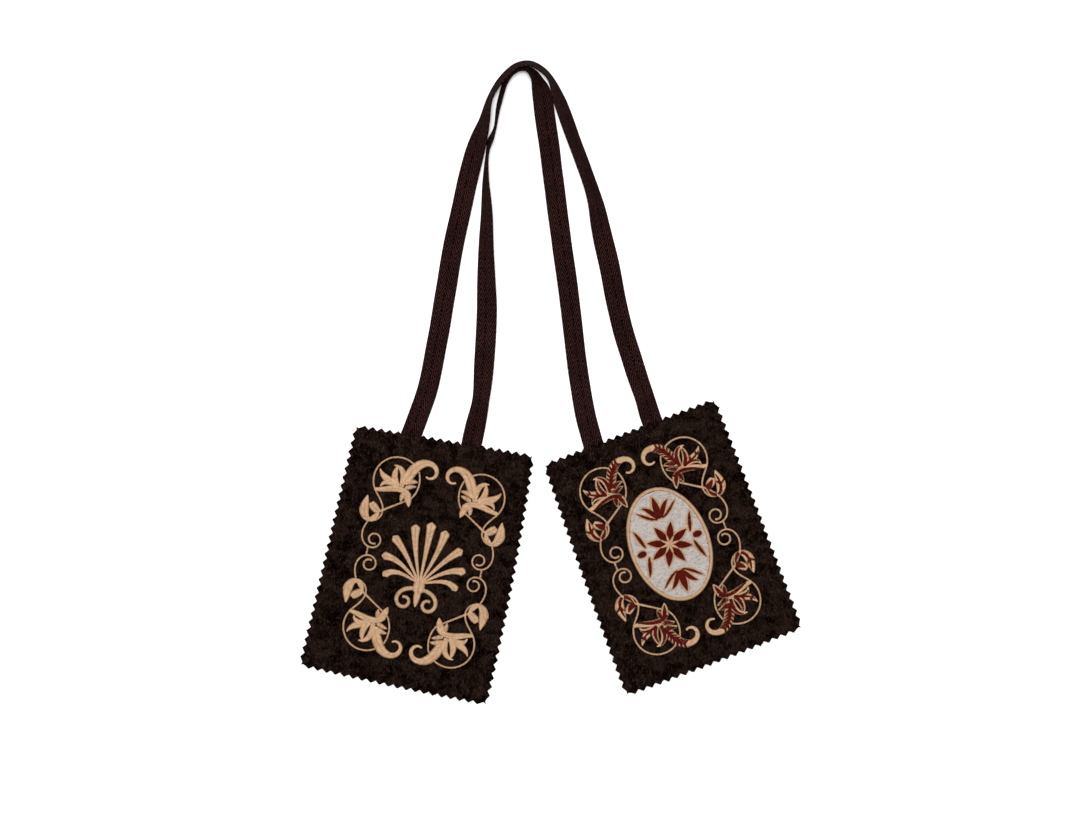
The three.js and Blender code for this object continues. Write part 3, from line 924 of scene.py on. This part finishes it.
for side in ("left", "right"):
    for corner, (signU, signV) in cornersOf.items():
        dice = random.Random(f"{side} {corner}")
        strands = [strand for path in vinePaths for strand in strandsOf(path, dice)]
        placed = placeStrands(side, strands, signU, signV)
        stitch(side, f"vine_{side}_{corner}_stitches", placed, "tan_thread", f"vine_{side}_{corner}")
print("vines stitched:", len(needlework["left"][0].data.polygons), "faces each")

dice = random.Random("palmette")
placed = []
for path in walk(palmetteHalf):
    for signU in (1, -1):
        placed += placeStrands("left", strandsOf(path, dice), signU)
for path in walk(palmetteMiddle):
    placed += placeStrands("left", strandsOf(path, dice))
stitch("left", "palmette_stitches", placed, "tan_thread", "palmette")

for corner, (signU, signV) in cornersOf.items():
    dice = random.Random("veins " + corner)
    strands = []
    for path in vinePaths:
        if path["row"]["vein"] is not None:
            for vein in veinsOf(path, path["row"]["vein"]):
                strands += strandsOf(vein, dice)
    placed = placeStrands("right", strands, signU, signV)
    stitch("right", f"vine_veins_{corner}", placed, "maroon_thread")
print("palmette and veins stitched")


# the oval medallion

medallionShape = {
    "rise": 0.9,  # mm above the panel's middle
    "sink": 0.25,  # mm that the filled middle of a petal lies under its rim
    "halfWidth": 20.2,
    "halfHeight": 29.3,
    "rimWidth": 1.8,
    "rowGap": 0.42,
    "stitchLength": 0.95,
    "fieldLift": 0.22,
    "shadedShare": 0.08,  # of the field's stitches
    "petals": 8,
    "petalLength": 12,
    "petalWidth": 9.6,
}


def medallionRim(dice):
    shape = medallionShape
    angles = np.linspace(0, 2 * pi, 721)
    middleA, middleB = shape["halfWidth"] - shape["rimWidth"] / 2, shape["halfHeight"] - shape["rimWidth"] / 2
    us, vs = middleA * np.cos(angles), middleB * np.sin(angles)
    run = runOf(np.hypot(np.diff(us), np.diff(vs)))
    count = int(run[-1] / threadShape["spacing"])
    strands = []
    for k in range(count):
        ends = []
        for side in (-1, 1):
            angle = np.interp((k + 0.5 + side * 0.7) * run[-1] / count, run, angles)
            outward = Vector((cos(angle) / middleA, sin(angle) / middleB)).normalized()
            reach = side * (shape["rimWidth"] / 2 + dice.uniform(-1, 1) * threadShape["ragged"])
            ends.append((middleA * cos(angle) + outward.x * reach,
                         middleB * sin(angle) + outward.y * reach + shape["rise"]))
        points = arch(*ends, (-0.12, 0.48, 0.48, -0.05), (0, 0.28, 0.72, 1), 0.02)
        strands.append((points, [threadShape["radius"]] * 4, toneOf(dice, 0.5, 0.2)))
    return strands


def medallionField(dice):
    shape = medallionShape
    wide, tall = shape["halfWidth"] - shape["rimWidth"], shape["halfHeight"] - shape["rimWidth"]
    strands = []
    v = -tall + 0.3
    while v < tall - 0.2:
        reach = wide * sqrt(max(1 - (v / tall) ** 2, 0))
        u = -reach - shape["stitchLength"] * dice.random()
        while u < reach:
            start, end = max(u, -reach), min(u + shape["stitchLength"] + dice.uniform(-0.3, 0.4), reach)
            if end - start > 0.4:
                wobble = dice.uniform(-0.22, 0.22)
                points = arch((start, v + wobble + shape["rise"]), (end, v - wobble + shape["rise"]),
                              (-0.05, 0.2, 0.2, -0.05), (0, 0.25, 0.75, 1),
                              shape["fieldLift"] + dice.uniform(-0.08, 0.08))
                shaded = dice.random() < shape["shadedShare"]
                tone = 0 if shaded else toneOf(dice, 0.75, 0.2)
                strands.append((points, [threadShape["radius"] * 1.05] * 4, tone))
            u = end
        v += shape["rowGap"]
    return strands


def petalRows(length, width, start, phase, lift):
    rows = []
    for i in range(medallionShape["petals"]):
        heading = phase + 360 * i / medallionShape["petals"]
        turn = radians(heading)
        rows.append(stroke(start * cos(turn), start * sin(turn), heading, length, (0, 0),
                           (width * 0.3, width, 0.3), lift))
    return rows


def raised(rows):
    return walk([{**row, "v": row["v"] + medallionShape["rise"]} for row in rows])


def heartsOf(paths, share):  # a smaller stroke on each path, for the filled middle of a petal
    rows = []
    for path in paths:
        row = path["row"]
        length, (bendStart, bendEnd) = row["length"], row["bends"]
        begin, cut = 0.06 * length, 0.9
        heading = headingAt(path, begin)
        first, pull, last = row["widths"]
        bends = [bendStart + (bendEnd - bendStart) * share for share in (0.06, cut)]
        rows.append(stroke(*edgePoint(path, begin, 0), heading, length * cut - begin, bends,
                           (first * share, pull * share, last * 0.9),
                           row["lift"] + padOf(path) - medallionShape["sink"]))
    return walk(rows)


sprig = (  # the middle petal first, the others are mirrored
    stroke(0, 13.0, 90, 13.2, (0, 0), (3.0, 9.6, 0.4), 0.48),
    stroke(0.4, 13.4, 58, 11.6, (2, -9), (2.4, 7.0, 0.4), 0.40),
    stroke(0.4, 13.4, 12, 13.2, (6, -2), (1.4, 5.4, 0.4), 0.34),
    stroke(11.6, 1.8, 70, 12, (2, -4), (1.6, 6.8, 0.4), 0.36),
)
berry = (stroke(12.2, 0, 0, 5.4, (0, 0), (2.6, 8.4, 1.4), 0.36),)

dice = random.Random("medallion")
placed = placeStrands("right", medallionRim(dice))
stitch("right", "medallion_rim_stitches", placed, "tan_thread", "medallion_rim")
placed = placeStrands("right", medallionField(dice))
stitch("right", "medallion_field_stitches", placed, "cream_thread", "medallion_field")

tanStrands, maroonStrands = [], []
petals = raised(petalRows(medallionShape["petalLength"], medallionShape["petalWidth"], 0.4, 22.5, 0.34))
for path in petals:
    tanStrands += placeStrands("right", strandsOf(path, dice))
for path in heartsOf(petals, 0.74):
    maroonStrands += placeStrands("right", strandsOf(path, dice))
for path in raised(petalRows(4.4, 2.8, 0.3, 0, 1.3)):
    tanStrands += placeStrands("right", strandsOf(path, dice))
sprigPaths, berryPaths = raised(sprig), raised(berry)
for signV in (1, -1):
    shift = {1: 0, -1: 2 * medallionShape["rise"]}[signV]  # the mirror line is the oval's own middle
    for paths, target in ((sprigPaths, tanStrands), (heartsOf(sprigPaths, 0.7), maroonStrands)):
        for path in paths:
            for signU in (1, -1) if path["u"][0] else (1,):
                flipped = [([(u * signU, v * signV + shift, h) for u, v, h in points], radii, tone)
                           for points, radii, tone in strandsOf(path, dice)]
                target += placeStrands("right", flipped)
for signU in (1, -1):
    for path in berryPaths:
        tanStrands += placeStrands("right", strandsOf(path, dice), signU)
    for path in heartsOf(berryPaths, 0.74):
        maroonStrands += placeStrands("right", strandsOf(path, dice), signU)
stitch("right", "medallion_flower_stitches", maroonStrands, "maroon_thread", "medallion_rosette")
stitch("right", "medallion_leaf_stitches", tanStrands, "tan_thread")
print("medallion stitched")


# loose wool fibres on the felt and along its pinked edge

fuzzShape = {
    "perPanel": 3400,
    "alongEdge": 1000,
    "length": (0.7, 2.2),  # mm
    "radius": 0.036,
    "clearOfStitches": 0.6,
}


def makeFuzz(side):
    dice = random.Random("fuzz " + side)
    panel = panelShapes[side]
    cell = fuzzShape["clearOfStitches"]
    taken = {(round(x / cell), round(y / cell)) for x, y in stitchedSpots[side]}
    strands = []

    def lay(x, y, heading, length, rise, tone):
        points, bend = [], dice.uniform(-35, 35)
        for t in (0, 0.5, 1):
            if (round(x / cell), round(y / cell)) in taken:
                return
            points.append((x, y, rise(x, y, t)))
            way = radians(heading + bend * t)
            x, y = x + cos(way) * length / 2, y + sin(way) * length / 2
        thick = fuzzShape["radius"] * dice.uniform(0.7, 1.35)
        strands.append((points, [thick, thick, thick * 0.6], tone))

    while len(strands) < fuzzShape["perPanel"]:
        point, rightward, upward = sidePoint(panel, dice.uniform(0.015, 0.985), dice.uniform(0.012, 0.988))
        arc = dice.uniform(0.02, 0.28)
        lay(point.x, point.y, dice.gauss(90, 40), dice.uniform(*fuzzShape["length"]),
            lambda x, y, t: feltTop(side, x, y) + 0.02 + arc * sin(pi * t),
            toneOf(dice, 0.42, 0.3))
    spots = [vertex.co.copy() / mm for vertex in felts[side][0].data.vertices]
    middle = Vector(panel["middle"])
    lowest, highest = 0.2 * feltShape["thickness"], 0.95 * feltShape["thickness"]
    edgeOf = [spot for spot in spots if spot.z - feltLift(side, spot.x, spot.y) < highest * 0.75]
    target = len(strands) + fuzzShape["alongEdge"]
    while len(strands) < target:
        spot = dice.choice(edgeOf)
        local = spot.xy - middle
        local.rotate(Matrix.Rotation(radians(-panel["turn"]), 2))
        sideways = abs(local.x) / 46 > abs(local.y) / 62
        outward = (0 if local.x > 0 else 180) if sideways else (90 if local.y > 0 else 270)
        deep = 43 if sideways else 58
        if abs(local.x if sideways else local.y) < deep or (abs(local.x) > 43 and abs(local.y) > 59):
            continue  # clear of the stitching, and of the four corner tips
        heading = outward + panel["turn"] + dice.uniform(-65, 65)
        base = dice.uniform(lowest, highest)
        climb = dice.uniform(-0.4, 0.5)
        lay(spot.x, spot.y, heading, dice.uniform(0.5, 1.2),
            lambda x, y, t: max(feltLift(side, x, y) + base + climb * t, 0.1),
            toneOf(dice, 0.35, 0.25))
    fuzz = makeStrands(f"{side}_loose_fibres", strands, looseFibre)
    return fuzz


fuzz = {side: makeFuzz(side) for side in panelShapes}
print("fibres laid:", [len(thing.data.polygons) for thing in fuzz.values()])


# sewing that holds the tape ends under the felt

sewingShape = {"rows": (2.4, 9.2), "reach": 4.0, "stitch": 1.5, "radius": 0.14}


def makeSewing(side):
    dice = random.Random("sewing " + side)
    strands = []
    for start, along in endsUnder[side]:
        across = Vector((-along.y, along.x))
        for row in sewingShape["rows"]:
            count = int(2 * sewingShape["reach"] / sewingShape["stitch"])
            for k in range(count):
                first = -sewingShape["reach"] + (k + 0.1) * 2 * sewingShape["reach"] / count
                last = first + sewingShape["stitch"] * 0.8
                points = []
                for share, height in ((0, 0.4), (0.15, 0.16), (0.85, 0.16), (1, 0.4)):
                    spot = start + along * (row + dice.uniform(-0.05, 0.05))
                    spot += across * (first + (last - first) * share)
                    points.append((spot.x, spot.y, height))
                strands.append((points, [sewingShape["radius"]] * 4, dice.random()))
    thing = makeStrands(f"{side}_tape_sewing", strands, tapeThread)
    return thing


sewing = {side: makeSewing(side) for side in panelShapes}

# table, light and camera

stageLook = {"size": 4.0, "colour": (240, 240, 240), "worldColour": (255, 255, 255), "worldStrength": 0.36}


def makeTable():
    bm = bmesh.new()
    bmesh.ops.create_grid(bm, x_segments=1, y_segments=1, size=stageLook["size"] / 2)
    material, tree, shader = startMaterial("paleTable", 0.8, 0.0, (1, 1, 1, 1))
    place = tree.nodes.new("ShaderNodeTexCoord").outputs["Object"]
    shade = addRange(tree, addNoise(tree, place, 6), 0.3, 0.7, 0.0, 1.0)
    pale = linear(*stageLook["colour"])
    greyer = tuple(value * 0.99 for value in pale)
    tree.links.new(addMix(tree, shade, pale, greyer), shader.inputs["Base Color"])
    table = linkObject("table_top", meshFrom(bm, "tableTop"), material)


lamps = {  # place in metres, size in metres, power in watts
    "keyPanel": ((-0.45, 0.55, 1.05), 0.8, 8.5),
    "fillPanel": ((0.7, -0.35, 0.95), 0.9, 4.5),
    "topPanel": ((-0.01, 0.03, 1.6), 0.34, 24),
}


def makeLights():
    for name, (place, size, power) in lamps.items():
        lamp = bpy.data.lights.new(name, "AREA")
        lamp.shape = "SQUARE"
        lamp.size = size
        lamp.energy = power
        thing = addObject(name, lamp)
        thing.location = place
        thing.rotation_euler = (-Vector(place)).to_track_quat("-Z", "Y").to_euler()
    world = bpy.data.worlds.new("paleRoom")
    world.use_nodes = True
    background = world.node_tree.nodes["Background"]
    setInputs(background, Color=linear(*stageLook["worldColour"]), Strength=stageLook["worldStrength"])
    scene.world = world
    scene.view_settings.view_transform = "Standard"


cameraSetup = {"aim": (-5.5, -11.5), "height": 1100, "pictureWidth": 540}  # mm; straight down


def makeCamera():
    camera = bpy.data.cameras.new("photoCamera")
    camera.sensor_width = 36
    camera.lens = 36 * cameraSetup["height"] / cameraSetup["pictureWidth"]
    scene.camera = addObject("photoCamera", camera)
    scene.camera.location = Vector((*cameraSetup["aim"], cameraSetup["height"])) * mm


makeTable()
makeLights()
makeCamera()
print("stage set")
